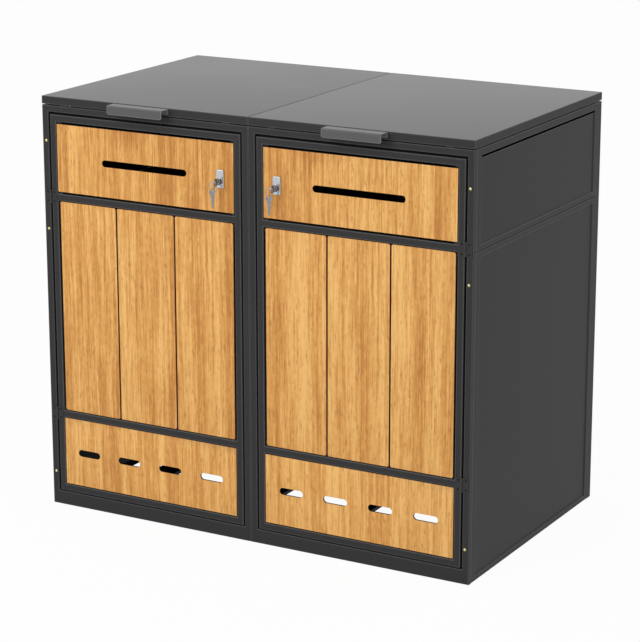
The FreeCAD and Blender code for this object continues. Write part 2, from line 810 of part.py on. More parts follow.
def lid_handle(middle):
    """Bent strip on the lid's front skirt: back leg, top and a drop front with rounded corners."""
    top = height - handle_below_top
    start = middle + handle_shift - handle_length / 2.0
    front = y_front - handle_reach
    inner = handle_sheet
    points = [
        (y_front, top), (front, top), (front, top - handle_drop), (front + inner, top - handle_drop),
        (front + inner, top - inner), (y_front - inner, top - inner),
        (y_front - inner, top - handle_leg), (y_front, top - handle_leg)]
    outline = [V(start, y, z) for y, z in points]
    outline.append(outline[0])
    strip_solid = Part.Face(Part.makePolygon(outline)).extrude(V(handle_length, 0, 0))

    def outer_bend(edge):
        box = edge.BoundBox
        return box.XLength > 1 and abs(box.YMin - front) < 1e-4 and abs(box.ZMax - top) < 1e-4

    def lower_corner(edge):
        box = edge.BoundBox
        return box.XLength < 1e-4 and box.ZLength < 1e-4 and box.ZMax < top - handle_drop + 1e-4

    return rounded(rounded(strip_solid, handle_bend, outer_bend), handle_corner, lower_corner)


def both(name, shape):
    """A left unit piece and its mirror image in the right unit."""
    return {name + "_left": [shape], name + "_right": [mirrored(shape)]}


def build():
    """Every node's name with its solids."""
    nodes = {}
    nodes.update(both("front_frame", front_frame()))
    nodes.update(both("rear_frame", rear_frame()))
    lower, upper = side_panels()
    nodes.update(both("side_panel_lower", lower))
    nodes.update(both("side_panel_upper", upper))
    lower, upper = rear_panels()
    nodes.update(both("rear_panel_lower", lower))
    nodes.update(both("rear_panel_upper", upper))
    nodes["centre_gutter_rail"] = [centre_gutter_rail()]
    nodes["floor_ties"] = floor_ties()
    nodes["unit_joining_bolts"] = joining_bolts()
    nodes["front_frame_rivets"] = front_rivets()
    nodes["door_buffers"] = door_buffers()
    nodes["lid_buffers"] = lid_buffers()

    frame_leaves, door_leaves, pins = door_hinge_pieces()
    nodes["door_hinge_frame_leaves"] = frame_leaves + [mirrored(leaf) for leaf in frame_leaves]
    nodes["door_hinge_pins"] = pins + [mirrored(pin) for pin in pins]
    nodes["door_hinge_leaves_left"] = door_leaves
    nodes["door_hinge_leaves_right"] = [mirrored(leaf) for leaf in door_leaves]

    frame_leaves, lid_leaves, pins = lid_hinge_pieces()
    nodes["lid_hinge_frame_leaves"] = frame_leaves + [mirrored(leaf) for leaf in frame_leaves]
    nodes["lid_hinge_pins"] = pins + [mirrored(pin) for pin in pins]
    nodes["lid_hinge_leaves_left"] = lid_leaves
    nodes["lid_hinge_leaves_right"] = [mirrored(leaf) for leaf in lid_leaves]

    nodes.update(both("door_frame", door_frame()))
    nodes.update(both("letter_panel", letter_panel()))
    nodes.update(both("vent_panel", vent_panel()))
    for number, board in enumerate(door_boards(), 1):
        nodes["door_board_left_%d" % number] = [board]
        nodes["door_board_right_%d" % number] = [mirrored(board)]

    nodes.update(both("lock_body", lock_body()))
    nodes.update(both("lock_bolt", lock_bolt()))
    for side, x in (("left", lock_x), ("right", -lock_x)):
        nodes["lock_plug_" + side] = [lock_plug(x)]
        nodes["key_" + side] = [key(x)]
        nodes["key_ring_" + side] = [key_ring(x)]
        nodes["spare_key_" + side] = [spare_key(x)]

    nodes.update(both("lid", lid()))
    nodes.update(both("lid_stiffener", lid_stiffener()))
    nodes["lid_handle_left"] = [lid_handle(-half / 2.0)]
    nodes["lid_handle_right"] = [lid_handle(half / 2.0)]
    return nodes


def main():
    os.makedirs("parts", exist_ok=True)
    nodes = build()
    for name, solids in nodes.items():
        shape = solids[0] if len(solids) == 1 else Part.makeCompound(solids)
        shape.exportStep("parts/" + name + ".step")
    print("nodes", len(nodes))


main()
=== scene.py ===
import bpy
import bmesh
import math
from mathutils import Matrix, Vector


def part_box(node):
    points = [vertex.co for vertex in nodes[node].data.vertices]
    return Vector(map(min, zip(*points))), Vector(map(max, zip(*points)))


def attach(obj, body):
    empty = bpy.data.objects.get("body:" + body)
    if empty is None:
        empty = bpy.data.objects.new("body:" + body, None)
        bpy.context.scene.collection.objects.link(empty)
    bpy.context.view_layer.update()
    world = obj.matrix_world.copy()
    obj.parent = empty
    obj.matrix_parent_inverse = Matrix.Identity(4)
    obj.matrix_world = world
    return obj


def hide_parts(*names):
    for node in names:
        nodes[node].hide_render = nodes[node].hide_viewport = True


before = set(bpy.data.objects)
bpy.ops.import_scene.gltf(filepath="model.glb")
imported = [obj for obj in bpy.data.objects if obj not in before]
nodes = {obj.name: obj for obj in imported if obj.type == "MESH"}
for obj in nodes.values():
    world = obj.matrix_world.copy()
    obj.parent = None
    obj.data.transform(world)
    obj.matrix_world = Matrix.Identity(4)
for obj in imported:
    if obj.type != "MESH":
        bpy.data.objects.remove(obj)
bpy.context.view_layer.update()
sides = ("left", "right")
print("store loaded:", len(nodes), "nodes")


# Helpers for node trees

def emptyTree(owner):
    owner.use_nodes = True
    owner.node_tree.nodes.clear()
    return owner.node_tree


def newMaterial(name):
    material = bpy.data.materials.new(name)
    tree = emptyTree(material)
    out = addNode(tree, "ShaderNodeOutputMaterial")
    shader = addNode(tree, "ShaderNodeBsdfPrincipled")
    feed(tree, out.inputs["Surface"], shader.outputs["BSDF"])
    return material, tree, shader


def toLinear(r, g, b):
    # a screen colour of 0 to 255 as linear light
    def one(v):
        v = v / 255.0
        return v / 12.92 if v <= 0.04045 else ((v + 0.055) / 1.055) ** 2.4
    return (one(r), one(g), one(b), 1.0)


def tinted(colour, share):
    return tuple(c * share for c in colour[:3]) + (1.0,)


def grey(level):
    return (level, level, level, 1.0)


def addNode(tree, kind, **settings):
    node = tree.nodes.new(kind)
    for key, value in settings.items():
        setattr(node, key, value)
    return node


def feed(tree, socket, value):
    # links another node's output, or sets a plain value
    if hasattr(value, "is_output"):
        tree.links.new(value, socket)
    else:
        socket.default_value = value


def maths(tree, operation, a, b=0.0, c=0.0):
    node = addNode(tree, "ShaderNodeMath", operation=operation)
    for socket, value in zip(node.inputs, (a, b, c)):
        feed(tree, socket, value)
    return node.outputs[0]


def mixColour(tree, mode, factor, a, b):
    node = addNode(tree, "ShaderNodeMix", data_type="RGBA", blend_type=mode)
    for socket, value in zip((node.inputs[0], node.inputs[6], node.inputs[7]), (factor, a, b)):
        feed(tree, socket, value)
    return node.outputs[2]


def objectPoints(tree, scale=(1, 1, 1), shift=(0, 0, 0), turn=(0, 0, 0)):
    coords = addNode(tree, "ShaderNodeTexCoord")
    mapping = addNode(tree, "ShaderNodeMapping")
    mapping.inputs["Location"].default_value = shift
    mapping.inputs["Rotation"].default_value = turn
    mapping.inputs["Scale"].default_value = scale
    feed(tree, mapping.inputs["Vector"], coords.outputs["Object"])
    return mapping.outputs["Vector"]


def splitPoints(tree, vector):
    node = addNode(tree, "ShaderNodeSeparateXYZ")
    feed(tree, node.inputs[0], vector)
    return node.outputs[0], node.outputs[1], node.outputs[2]


def joinPoints(tree, x, y, z):
    node = addNode(tree, "ShaderNodeCombineXYZ")
    for socket, value in zip(node.inputs, (x, y, z)):
        feed(tree, socket, value)
    return node.outputs[0]


noiseMean = 0.5


def noise(tree, vector, scale, detail, roughness):
    node = addNode(tree, "ShaderNodeTexNoise")
    node.inputs["Scale"].default_value = scale
    node.inputs["Detail"].default_value = detail
    node.inputs["Roughness"].default_value = roughness
    feed(tree, node.inputs["Vector"], vector)
    return node.outputs["Fac"]


def ramp(tree, value, stops):
    node = addNode(tree, "ShaderNodeValToRGB")
    elements = node.color_ramp.elements
    while len(elements) < len(stops):
        elements.new(0.5)
    for element, (position, colour) in zip(elements, stops):
        element.position = position
        element.color = colour
    feed(tree, node.inputs["Fac"], value)
    return node.outputs["Color"]


def fade(tree, value, span, first, last):
    # from the first colour at the span's start to the last at its end
    return ramp(tree, value, [(span[0], first), (span[1], last)])


def bump(tree, height, strength, distance):
    node = addNode(tree, "ShaderNodeBump")
    node.inputs["Strength"].default_value = strength
    node.inputs["Distance"].default_value = distance
    feed(tree, node.inputs["Height"], height)
    return node.outputs["Normal"]


# Powder coat: fine stipple, faint clouding, and a paler colour along the folded edges, a painted highlight

coatLooks = {
    "cabinetCoat": {"colour": (57, 57, 58), "roughness": 0.36, "specular": 0.05, "edgeHighlight": 0.72, "relief": 0.1},
    "lidCoat": {"colour": (58, 58, 59), "roughness": 0.28, "specular": 0.20, "edgeHighlight": 0.5, "relief": 0.03},
    # the handle's coat is paler than the cabinet's: painted light, for the light the handle's flange catches
    # from above
    "handleCoat": {"colour": (90, 90, 91), "roughness": 0.30, "specular": 0.20, "edgeHighlight": 0.5, "relief": 0.08},
    "hingeCoat": {"colour": (28, 28, 29), "roughness": 0.26, "specular": 0.40, "edgeHighlight": 0.5, "relief": 0.04},
    "screwCoat": {"colour": (24, 24, 26), "roughness": 0.40, "specular": 0.10, "edgeHighlight": 0.3, "relief": 0.04},
}
# a noise is given by its scale, detail and roughness, and a span by the values between which it acts
coatGrain = {
    "cloud": (3.5, 4.0, 0.55), "cloudSpan": (0.3, 0.7), "cloudShare": 0.03,
    "stipple": (900.0, 2.0, 0.6), "stippleSpan": (0.35, 0.65), "stippleShare": 0.05, "stippleDepth": 0.0002,
    "glossSpan": (0.25, 0.75), "glossShift": 0.01,
    "edgeReach": 0.0030, "edgeSamples": 4, "edgeSpan": (0.006, 0.08), "edgeHighlightShare": 4.4,
}


def edgeMask(tree):
    # how far the rounded normal leans from the true one, which is high only along edges
    softNormal = addNode(tree, "ShaderNodeBevel", samples=coatGrain["edgeSamples"])
    softNormal.inputs["Radius"].default_value = coatGrain["edgeReach"]
    trueNormal = addNode(tree, "ShaderNodeNewGeometry")
    dot = addNode(tree, "ShaderNodeVectorMath", operation="DOT_PRODUCT")
    feed(tree, dot.inputs[0], softNormal.outputs["Normal"])
    feed(tree, dot.inputs[1], trueNormal.outputs["Normal"])
    lean = maths(tree, "SUBTRACT", 1.0, dot.outputs["Value"])
    return fade(tree, lean, coatGrain["edgeSpan"], grey(0.0), grey(1.0))


def powderCoat(name):
    look = coatLooks[name]
    material, tree, shader = newMaterial(name)
    points = objectPoints(tree)
    cloud = noise(tree, points, *coatGrain["cloud"])
    stipple = noise(tree, points, *coatGrain["stipple"])
    base = toLinear(*look["colour"])
    share = coatGrain["cloudShare"]
    colour = fade(tree, cloud, coatGrain["cloudSpan"], tinted(base, 1.0 - share), tinted(base, 1.0 + share))
    share = coatGrain["stippleShare"]
    speck = fade(tree, stipple, coatGrain["stippleSpan"], grey(1.0 - share), grey(1.0 + share))
    colour = mixColour(tree, "MULTIPLY", 1.0, colour, speck)
    # painted highlight: the colour turns paler along every edge, the folded edges and the inner corners
    # alike
    edgeHighlight = maths(tree, "MULTIPLY", edgeMask(tree), look["edgeHighlight"])
    colour = mixColour(tree, "MIX", edgeHighlight, colour, tinted(base, coatGrain["edgeHighlightShare"]))
    feed(tree, shader.inputs["Base Color"], colour)
    rough = look["roughness"]
    shift = coatGrain["glossShift"]
    gloss = fade(tree, cloud, coatGrain["glossSpan"], grey(rough - shift), grey(rough + shift))
    feed(tree, shader.inputs["Roughness"], gloss)
    shader.inputs["Specular IOR Level"].default_value = look["specular"]
    feed(tree, shader.inputs["Normal"], bump(tree, stipple, look["relief"], coatGrain["stippleDepth"]))
    return material


# Oiled hardwood: staves of slightly different tint, upright streaks, short dark flecks

woodLook = {
    "dark": (192, 128, 60), "middle": (220, 160, 85), "light": (243, 190, 114),
    "toneSteps": (0.40, 0.49, 0.58),  # the tones at which the wood is dark, middle and light
    "swayScale": (5.0, 1.0, 1.6), "sway": (1.0, 2.0, 0.5), "staveJump": 3.0,
    "fleck": (150, 90, 38), "fleckSpan": (0.63, 0.72), "fleckShare": 0.40,
    "shade": (205, 170, 140), "shadeShare": 0.55, "shadeRagged": 0.9,
    "paintedEdgeShadeSpan": (0.93, 0.985),  # painted shade below this squareness to the front, plain above
    "roughness": 0.55, "smoother": 0.05, "rougher": 0.08, "glossSpan": (0.2, 0.8), "specular": 0.3,
    "fineRelief": 0.4, "relief": 0.3, "reliefDepth": 0.0003,
}
woodStreaks = {
    "broad": {"across": 17.0, "along": 0.5, "detail": 2.0, "roughness": 0.5, "share": 0.27},
    "middle": {"across": 105.0, "along": 3.4, "detail": 3.0, "roughness": 0.62, "share": 0.37},
    "fine": {"across": 400.0, "along": 12.0, "detail": 2.0, "roughness": 0.6, "share": 0.22},
    "figure": {"across": 120.0, "along": 50.0, "detail": 3.0, "roughness": 0.6, "share": 0.14},
}
fleckStreak = {"across": 260.0, "along": 44.0, "detail": 1.0, "roughness": 0.5}


def streak(tree, x, y, z, look):
    across = maths(tree, "MULTIPLY", x, look["across"])
    along = maths(tree, "MULTIPLY", z, look["along"])
    return noise(tree, joinPoints(tree, across, y, along), 1.0, look["detail"], look["roughness"])


def shadePatch(tree, place, z, grain):
    # strongest in the middle of an oval, and ragged at its edge
    middleX, middleZ, wide, tall = place
    x = splitPoints(tree, objectPoints(tree))[0]
    across = maths(tree, "DIVIDE", maths(tree, "SUBTRACT", x, middleX), wide)
    along = maths(tree, "DIVIDE", maths(tree, "SUBTRACT", z, middleZ), tall)
    squares = [maths(tree, "MULTIPLY", part, part) for part in (across, along)]
    ragged = maths(tree, "MULTIPLY", maths(tree, "SUBTRACT", grain, noiseMean), woodLook["shadeRagged"])
    away = maths(tree, "ADD", maths(tree, "SQRT", maths(tree, "ADD", *squares)), ragged)
    return fade(tree, away, (0.0, 1.0), grey(woodLook["shadeShare"]), grey(0.0))


def woodGrain(name, piece):
    look = woodLook
    material, tree, shader = newMaterial(name)
    x, y, z = splitPoints(tree, objectPoints(tree, turn=(0, piece["lean"], 0)))
    sway = noise(tree, objectPoints(tree, look["swayScale"], piece["shift"]), *look["sway"])
    x = maths(tree, "MULTIPLY_ADD", maths(tree, "SUBTRACT", sway, noiseMean), piece["sway"], x)

    # each stave has a chance value of its own, which tints it and takes its grain from elsewhere
    shifted = maths(tree, "ADD", x, piece["shift"][0])
    stave = maths(tree, "FLOOR", maths(tree, "DIVIDE", shifted, piece["stave"]))
    chance = addNode(tree, "ShaderNodeTexWhiteNoise", noise_dimensions="1D")
    feed(tree, chance.inputs["W"], stave)
    own = chance.outputs["Value"]
    x = maths(tree, "MULTIPLY_ADD", own, look["staveJump"], maths(tree, "ADD", x, piece["shift"][1]))

    streaks = {kind: streak(tree, x, y, z, woodStreaks[kind]) for kind in woodStreaks}
    tone = piece["tone"]
    for kind, value in streaks.items():
        tone = maths(tree, "MULTIPLY_ADD", value, woodStreaks[kind]["share"], tone)
    tone = maths(tree, "MULTIPLY_ADD", maths(tree, "SUBTRACT", own, noiseMean), piece["staveTint"], tone)
    shades = [toLinear(*look[shade]) for shade in ("dark", "middle", "light")]
    colour = ramp(tree, tone, list(zip(look["toneSteps"], shades)))
    flecks = fade(tree, streak(tree, x, y, z, fleckStreak), look["fleckSpan"], grey(0.0), grey(1.0))
    fleckCover = maths(tree, "MULTIPLY", flecks, look["fleckShare"])
    colour = mixColour(tree, "MIX", fleckCover, colour, toLinear(*look["fleck"]))
    if "shade" in piece:
        patch = shadePatch(tree, piece["shade"], z, streaks["middle"])
        colour = mixColour(tree, "MULTIPLY", patch, colour, toLinear(*look["shade"]))

    # painted shade: the sawn edges and the walls of the slots are coloured dark, so that the joints and the
    # slots read as shaded
    facing = splitPoints(tree, addNode(tree, "ShaderNodeTexCoord").outputs["Normal"])[1]
    shadedEdge = fade(tree, maths(tree, "ABSOLUTE", facing), look["paintedEdgeShadeSpan"], grey(1.0), grey(0.0))
    colour = mixColour(tree, "MIX", shadedEdge, colour, toLinear(*piece["sealed"]))
    feed(tree, shader.inputs["Base Color"], colour)
    smooth = grey(look["roughness"] - look["smoother"])
    rough = grey(look["roughness"] + look["rougher"])
    feed(tree, shader.inputs["Roughness"], fade(tree, streaks["fine"], look["glossSpan"], smooth, rough))
    shader.inputs["Specular IOR Level"].default_value = look["specular"]
    relief = maths(tree, "SUBTRACT", maths(tree, "MULTIPLY", streaks["fine"], look["fineRelief"]), flecks)
    feed(tree, shader.inputs["Normal"], bump(tree, relief, look["relief"], look["reliefDepth"]))
    return material


# Metals and rubber

metalLooks = {
    "lockChrome": {"colour": (196, 198, 202), "roughness": 0.17, "grain": 0.05},
    # the housing's darker, browner chrome is painted shade and a painted reflection of the wood
    "housingPaintedShade": {"colour": (132, 122, 114), "roughness": 0.22, "grain": 0.06},
    "keySteel": {"colour": (150, 152, 158), "roughness": 0.25, "grain": 0.08},
    "rivetBrass": {"colour": (204, 192, 138), "roughness": 0.24, "grain": 0.06},
    "zincPlate": {"colour": (168, 171, 174), "roughness": 0.34, "grain": 0.10},
    "pinSteel": {"colour": (168, 158, 146), "roughness": 0.26, "grain": 0.08},
}
metalWear = {"noise": (260.0, 3.0, 0.6), "dull": 0.88, "dullSpan": (0.3, 0.6), "glossSpan": (0.25, 0.75)}


def bareMetal(name):
    look = metalLooks[name]
    material, tree, shader = newMaterial(name)
    wear = noise(tree, objectPoints(tree), *metalWear["noise"])
    base = toLinear(*look["colour"])
    dulled = fade(tree, wear, metalWear["dullSpan"], tinted(base, metalWear["dull"]), base)
    feed(tree, shader.inputs["Base Color"], dulled)
    shader.inputs["Metallic"].default_value = 1.0
    rough = look["roughness"]
    gloss = fade(tree, wear, metalWear["glossSpan"], grey(rough), grey(rough + look["grain"]))
    feed(tree, shader.inputs["Roughness"], gloss)
    return material


rubberLook = {"dark": (22, 22, 23), "pale": (38, 38, 39), "dust": (300.0, 3.0, 0.6), "dustSpan": (0.3, 0.7),
              "roughness": 0.75, "relief": 0.3, "reliefDepth": 0.0002}


def bufferRubber():
    look = rubberLook
    material, tree, shader = newMaterial("bufferRubber")
    dust = noise(tree, objectPoints(tree), *look["dust"])
    dusty = fade(tree, dust, look["dustSpan"], toLinear(*look["dark"]), toLinear(*look["pale"]))
    feed(tree, shader.inputs["Base Color"], dusty)
    shader.inputs["Roughness"].default_value = look["roughness"]
    feed(tree, shader.inputs["Normal"], bump(tree, dust, look["relief"], look["reliefDepth"]))
    return material


finishes = {name: powderCoat(name) for name in coatLooks}
finishes.update({name: bareMetal(name) for name in metalLooks})
finishes["bufferRubber"] = bufferRubber()


def dress(nodeName, material):
    mesh = nodes[nodeName].data
    mesh.materials.clear()
    mesh.materials.append(material)


pairedFinishes = {
    "cabinetCoat": ["front_frame", "rear_frame", "side_panel_upper", "side_panel_lower",
                    "rear_panel_upper", "rear_panel_lower", "door_frame", "lid_stiffener"],
    "lidCoat": ["lid"],
    "handleCoat": ["lid_handle"],
    "hingeCoat": ["door_hinge_leaves", "lid_hinge_leaves"],
    "lockChrome": ["lock_body", "lock_plug"],
    "zincPlate": ["lock_bolt"],
    "keySteel": ["key", "key_ring", "spare_key"],
}
singleFinishes = {
    "cabinetCoat": ["centre_gutter_rail", "floor_ties"],
    "zincPlate": ["unit_joining_bolts"],
    "rivetBrass": ["front_frame_rivets"],
    "bufferRubber": ["door_buffers", "lid_buffers"],
    "hingeCoat": ["door_hinge_frame_leaves", "lid_hinge_frame_leaves"],
    "pinSteel": ["door_hinge_pins", "lid_hinge_pins"],
}
for finish, pieces in pairedFinishes.items():
    for piece in pieces:
        for side in sides:
            dress(piece + "_" + side, finishes[finish])
for finish, pieces in singleFinishes.items():
    for piece in pieces:
        dress(piece, finishes[finish])

# shift takes the grain from another place, lean is in radians
# shade is the middle, width and height of a browner patch
# sealed is the dark colour painted on sawn edges and slot walls as shade
panelGrain = {"stave": 0.071, "staveTint": 0.055, "sway": 0.004, "sealed": (34, 20, 11)}
boardGrain = {"stave": 5.0, "staveTint": 0.0, "sway": 0.012, "sealed": (66, 17, 0)}
woodPieces = {
    "letter_panel_left": {**panelGrain, "shift": (0.012, 0.0, 0.2), "lean": 0.0, "tone": -0.022,
                          "shade": (-0.40, 1.105, 0.10, 0.06)},
    "letter_panel_right": {**panelGrain, "shift": (0.73, 0.4, 0.9), "lean": 0.0, "tone": -0.008,
                           "shade": (0.21, 1.10, 0.09, 0.05)},
    "door_board_left_1": {**boardGrain, "shift": (2.11, 0.8, 0.1), "lean": 0.006, "tone": 0.004},
    "door_board_left_2": {**boardGrain, "shift": (3.47, 1.2, 0.6), "lean": -0.004, "tone": -0.003},
    "door_board_left_3": {**boardGrain, "shift": (4.23, 1.6, 1.3), "lean": 0.008, "tone": -0.027},
    "door_board_right_1": {**boardGrain, "shift": (5.71, 2.0, 0.4), "lean": -0.007, "tone": 0.022},
    "door_board_right_2": {**boardGrain, "shift": (6.13, 2.4, 1.1), "lean": 0.004, "tone": -0.022},
    "door_board_right_3": {**boardGrain, "shift": (7.59, 2.8, 0.7), "lean": 0.0, "tone": 0.025},
    "vent_panel_left": {**panelGrain, "shift": (8.37, 3.2, 1.7), "lean": 0.0, "tone": 0.022},
    "vent_panel_right": {**panelGrain, "shift": (9.83, 3.6, 0.5), "lean": 0.0, "tone": 0.045},
}
for name, piece in woodPieces.items():
    dress(name, woodGrain("wood_" + name, piece))
print("finishes made")


# Helpers for pieces

mergeReach = 1e-6


def meshFrom(shape, name):
    mesh = bpy.data.meshes.new(name)
    shape.to_mesh(mesh)
    shape.free()
    return mesh


def smoothFaces(mesh, angle):
    # smooth but for edges sharper than the angle
    mesh.shade_smooth()
    mesh.set_sharp_from_angle(angle=math.radians(angle))


def placed(name, mesh, material):
    piece = bpy.data.objects.new(name, mesh)
    bpy.context.scene.collection.objects.link(piece)
    mesh.materials.clear()
    mesh.materials.append(material)
    return piece


def settled(piece, angle):
    # the piece's modifiers become a plain mesh
    bpy.context.view_layer.update()
    graph = bpy.context.evaluated_depsgraph_get()
    mesh = bpy.data.meshes.new_from_object(piece.evaluated_get(graph), preserve_all_data_layers=True,
                                           depsgraph=graph)
    piece.modifiers.clear()
    piece.data = mesh
    mesh.name = piece.name
    smoothFaces(mesh, angle)


def mergedMesh(nodeName):
    shape = bmesh.new()
    shape.from_mesh(nodes[nodeName].data)
    bmesh.ops.remove_doubles(shape, verts=shape.verts, dist=mergeReach)
    return shape


def solidBoxes(nodeName):
    # lowest and highest corner of each separate solid of a node, from left to right and bottom to top
    shape = mergedMesh(nodeName)
    waiting = set(shape.verts)
    boxes = []
    while waiting:
        reached = [waiting.pop()]
        corners = []
        while reached:
            vert = reached.pop()
            corners.append(vert.co.copy())
            for edge in vert.link_edges:
                other = edge.other_vert(vert)
                if other in waiting:
                    waiting.remove(other)
                    reached.append(other)
        low = Vector([min(c[i] for c in corners) for i in range(3)])
        high = Vector([max(c[i] for c in corners) for i in range(3)])
        boxes.append((low, high))
    shape.free()
    boxes.sort(key=lambda box: (round(box[0].x, 4), round(box[0].z, 4)))
    return boxes


# Pieces that keep the modelled form and get rounded edges, in the finish of the node that they stand for

edgeLook = {
    "flat": 0.5,  # bends of up to so many degrees are taken as flat
    "angle": 40.0,  # edges sharper than this are rounded
    "segments": 2,
    "smooth": 20.0,  # edges up to this are shaded smooth
    "near": 0.00005,  # how close to a side of the node's box a point counts as on it
}
sidePieces = {
    "lid": {"slot": "lid_coat", "body": "lid", "width": 0.0007},
    "lid_handle": {"slot": "handle_coat", "body": "lid", "width": 0.0006},
    "lock_body": {"slot": "chrome", "body": "door", "width": 0.0005},
    "lock_plug": {"slot": "chrome", "body": "key", "width": 0.0003},
    "door_hinge_leaves": {"slot": "hinge_coat", "body": "door", "width": 0.0003},
    "lid_hinge_leaves": {"slot": "hinge_coat", "body": "lid", "width": 0.0003},
    "lock_bolt": {"slot": "zinc", "body": "bolt", "width": 0.0004},
}
leafLook = {"slot": "hinge_coat", "width": 0.0003}
# wide enough for the painted shade on the board edges to read as dark joint lines
boardLook = {"slot": "wood", "width": 0.0026}
# the vent panel's top is lifted close under the crossbar, and the rear panel is widened in its frame
ventLook = {"slot": "wood", "width": 0.0003, "lift": 0.0012}
rearLook = {"slot": "panel_coat", "width": 0.0004, "spread": 0.00025}


def boardNames(side):
    return ["door_board_%s_%d" % (side, i) for i in (1, 2, 3)]


def fitIn(shape, nodeName, look):
    # moves the upright sides outwards by the spread, and the top up by the lift
    low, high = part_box(nodeName)
    spread = look.get("spread", 0.0)
    lift = look.get("lift", 0.0)
    for vert in shape.verts:
        if vert.co.x < low.x + edgeLook["near"]:
            vert.co.x -= spread
        elif vert.co.x > high.x - edgeLook["near"]:
            vert.co.x += spread
        if vert.co.z > high.z - edgeLook["near"]:
            vert.co.z += lift


def softened(nodeName, prefix, look, body):
    shape = mergedMesh(nodeName)
    flat = math.radians(edgeLook["flat"])
    bmesh.ops.dissolve_limit(shape, angle_limit=flat, verts=shape.verts, edges=shape.edges)
    fitIn(shape, nodeName, look)
    name = prefix + nodeName
    piece = placed(name, meshFrom(shape, name), nodes[nodeName].data.materials[0])
    edge = piece.modifiers.new("edgeRound", "BEVEL")
    edge.width = look["width"]
    edge.segments = edgeLook["segments"]
    edge.limit_method = "ANGLE"
    edge.angle_limit = math.radians(edgeLook["angle"])
    settled(piece, edgeLook["smooth"])
    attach(piece, body)
    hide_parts(nodeName)


def refinish(name, finish, chosen):
    # gives the chosen faces of a piece a second finish
    mesh = bpy.data.objects[name].data
    mesh.materials.append(finishes[finish])
    for face in mesh.polygons:
        if chosen(face):
            face.material_index = 1


housingLook = {"plateProud": 0.0040, "clear": 0.0004}
lidTopFacing = 0.7  # a face of the lid that looks up more than this is its top


def darkenHousing(side):
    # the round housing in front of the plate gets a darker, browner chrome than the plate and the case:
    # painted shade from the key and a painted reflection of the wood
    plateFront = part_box("letter_panel_" + side)[0].y - housingLook["plateProud"]
    limit = plateFront - housingLook["clear"]
    refinish("soft_lock_body_" + side, "housingPaintedShade", lambda face: face.center.y < limit)


def coatSkirts(side):
    # the lid's top has the smoother coat, its skirts and inside the cabinet's
    refinish("soft_lid_" + side, "cabinetCoat", lambda face: face.normal.z < lidTopFacing)


for side in sides:
    for name, look in sidePieces.items():
        softened(name + "_" + side, "soft_", look, side + "_" + look["body"])
    darkenHousing(side)
    coatSkirts(side)
    for name in boardNames(side):
        softened(name, "eased_", boardLook, side + "_door")
    softened("vent_panel_" + side, "eased_", ventLook, side + "_door")
for name in ("door_hinge_frame_leaves", "lid_hinge_frame_leaves"):
    softened(name, "soft_", leafLook, "cabinet")
for side in sides:
    softened("rear_panel_lower_" + side, "soft_", rearLook, "cabinet")
print("edges rounded")


# Helpers for pieces that are built from loops of points

def joinLoops(shape, first, second):
    count = len(first)
    for i in range(count):
        j = (i + 1) % count
        shape.faces.new((first[i], first[j], second[j], second[i]))


def closedRun(shape, loops):
    # joins each loop to the next and closes both ends
    for first, second in zip(loops, loops[1:]):
        joinLoops(shape, first, second)
    shape.faces.new(loops[0])
    shape.faces.new(list(reversed(loops[-1])))


# Keys: a round bow with its ring hole, and a cut blade with milled grooves

keyLooks = {
    "key": {"hole": 0.0040, "holeOffset": 0.0055, "thickness": 0.0020, "root": 0.0035, "tip": 0.0035,
            "cuts": 5, "cutDepth": 0.0012, "groove": 0.0004, "rim": 0.0016},
    "spare_key": {"hole": 0.0035, "holeOffset": 0.0050, "thickness": 0.0020, "root": 0.0055, "tip": 0.0022,
                  "cuts": 7, "cutDepth": 0.0012, "groove": 0.0004, "rim": 0.0014, "twist": -40.0},
}
keyShape = {
    "sides": 48, "edge": 0.00035, "shallow": 0.00030, "sharp": 35.0,
    "bladeStart": 0.82,  # as a share of the bow's radius
    "tipShare": 0.72,  # of the blade's width, left at its very end
    "cutFrom": 0.22, "cutTo": 0.96,  # as shares of the blade's length
    "cutFade": 0.2,  # where the blade is narrower than its root by more than this, cuts are shallower
    "cutProfile": (0.0, 0.75, 1.0, 0.6),  # the form of one cut
    "cutDepths": (0.55, 1.0, 0.7, 0.9, 0.45),  # of the cuts in turn
    "grooveFrom": 0.15, "grooveTo": 0.55,  # as shares of the blade's half width
}


def circlePoints(radius, middle):
    count = keyShape["sides"]
    turns = [2 * math.pi * i / count for i in range(count)]
    return [(middle + radius * math.cos(turn), radius * math.sin(turn)) for turn in turns]


def addBow(shape, look, radius):
    # disc with the ring hole, its faces sunk a little inside a raised rim
    # u runs from the hole towards the blade
    half = look["thickness"] / 2.0
    sunk = half - keyShape["shallow"]
    edge = keyShape["edge"]
    rim = look["rim"]
    hole = look["hole"]
    middle = -look["holeOffset"]
    rings = [
        (radius, 0.0, half - edge), (radius - edge, 0.0, half), (radius - rim, 0.0, half),
        (radius - rim - edge, 0.0, sunk), (hole + edge, middle, sunk), (hole, middle, sunk - edge),
    ]
    loops = []
    for r, centre, height in rings + [(r, c, -h) for r, c, h in reversed(rings)]:
        loops.append([shape.verts.new((u, height, v)) for u, v in circlePoints(r, centre)])
    for first, second in zip(loops, loops[1:] + loops[:1]):
        joinLoops(shape, first, second)


def bladeReach(look, i, steps):
    # where the blade's lower and upper edges lie at one of its sections; the lower one carries the cuts
    share = i / steps
    wide = look["root"] + (look["tip"] - look["root"]) * share
    cut = 0.0
    if keyShape["cutFrom"] < share < keyShape["cutTo"]:
        profile = keyShape["cutProfile"]
        depths = keyShape["cutDepths"]
        cut = look["cutDepth"] * min(1.0, wide / look["root"] + keyShape["cutFade"])
        cut *= profile[i % len(profile)] * depths[(i // len(profile)) % len(depths)]
    if i == steps:
        wide *= keyShape["tipShare"]
    return cut - wide, wide


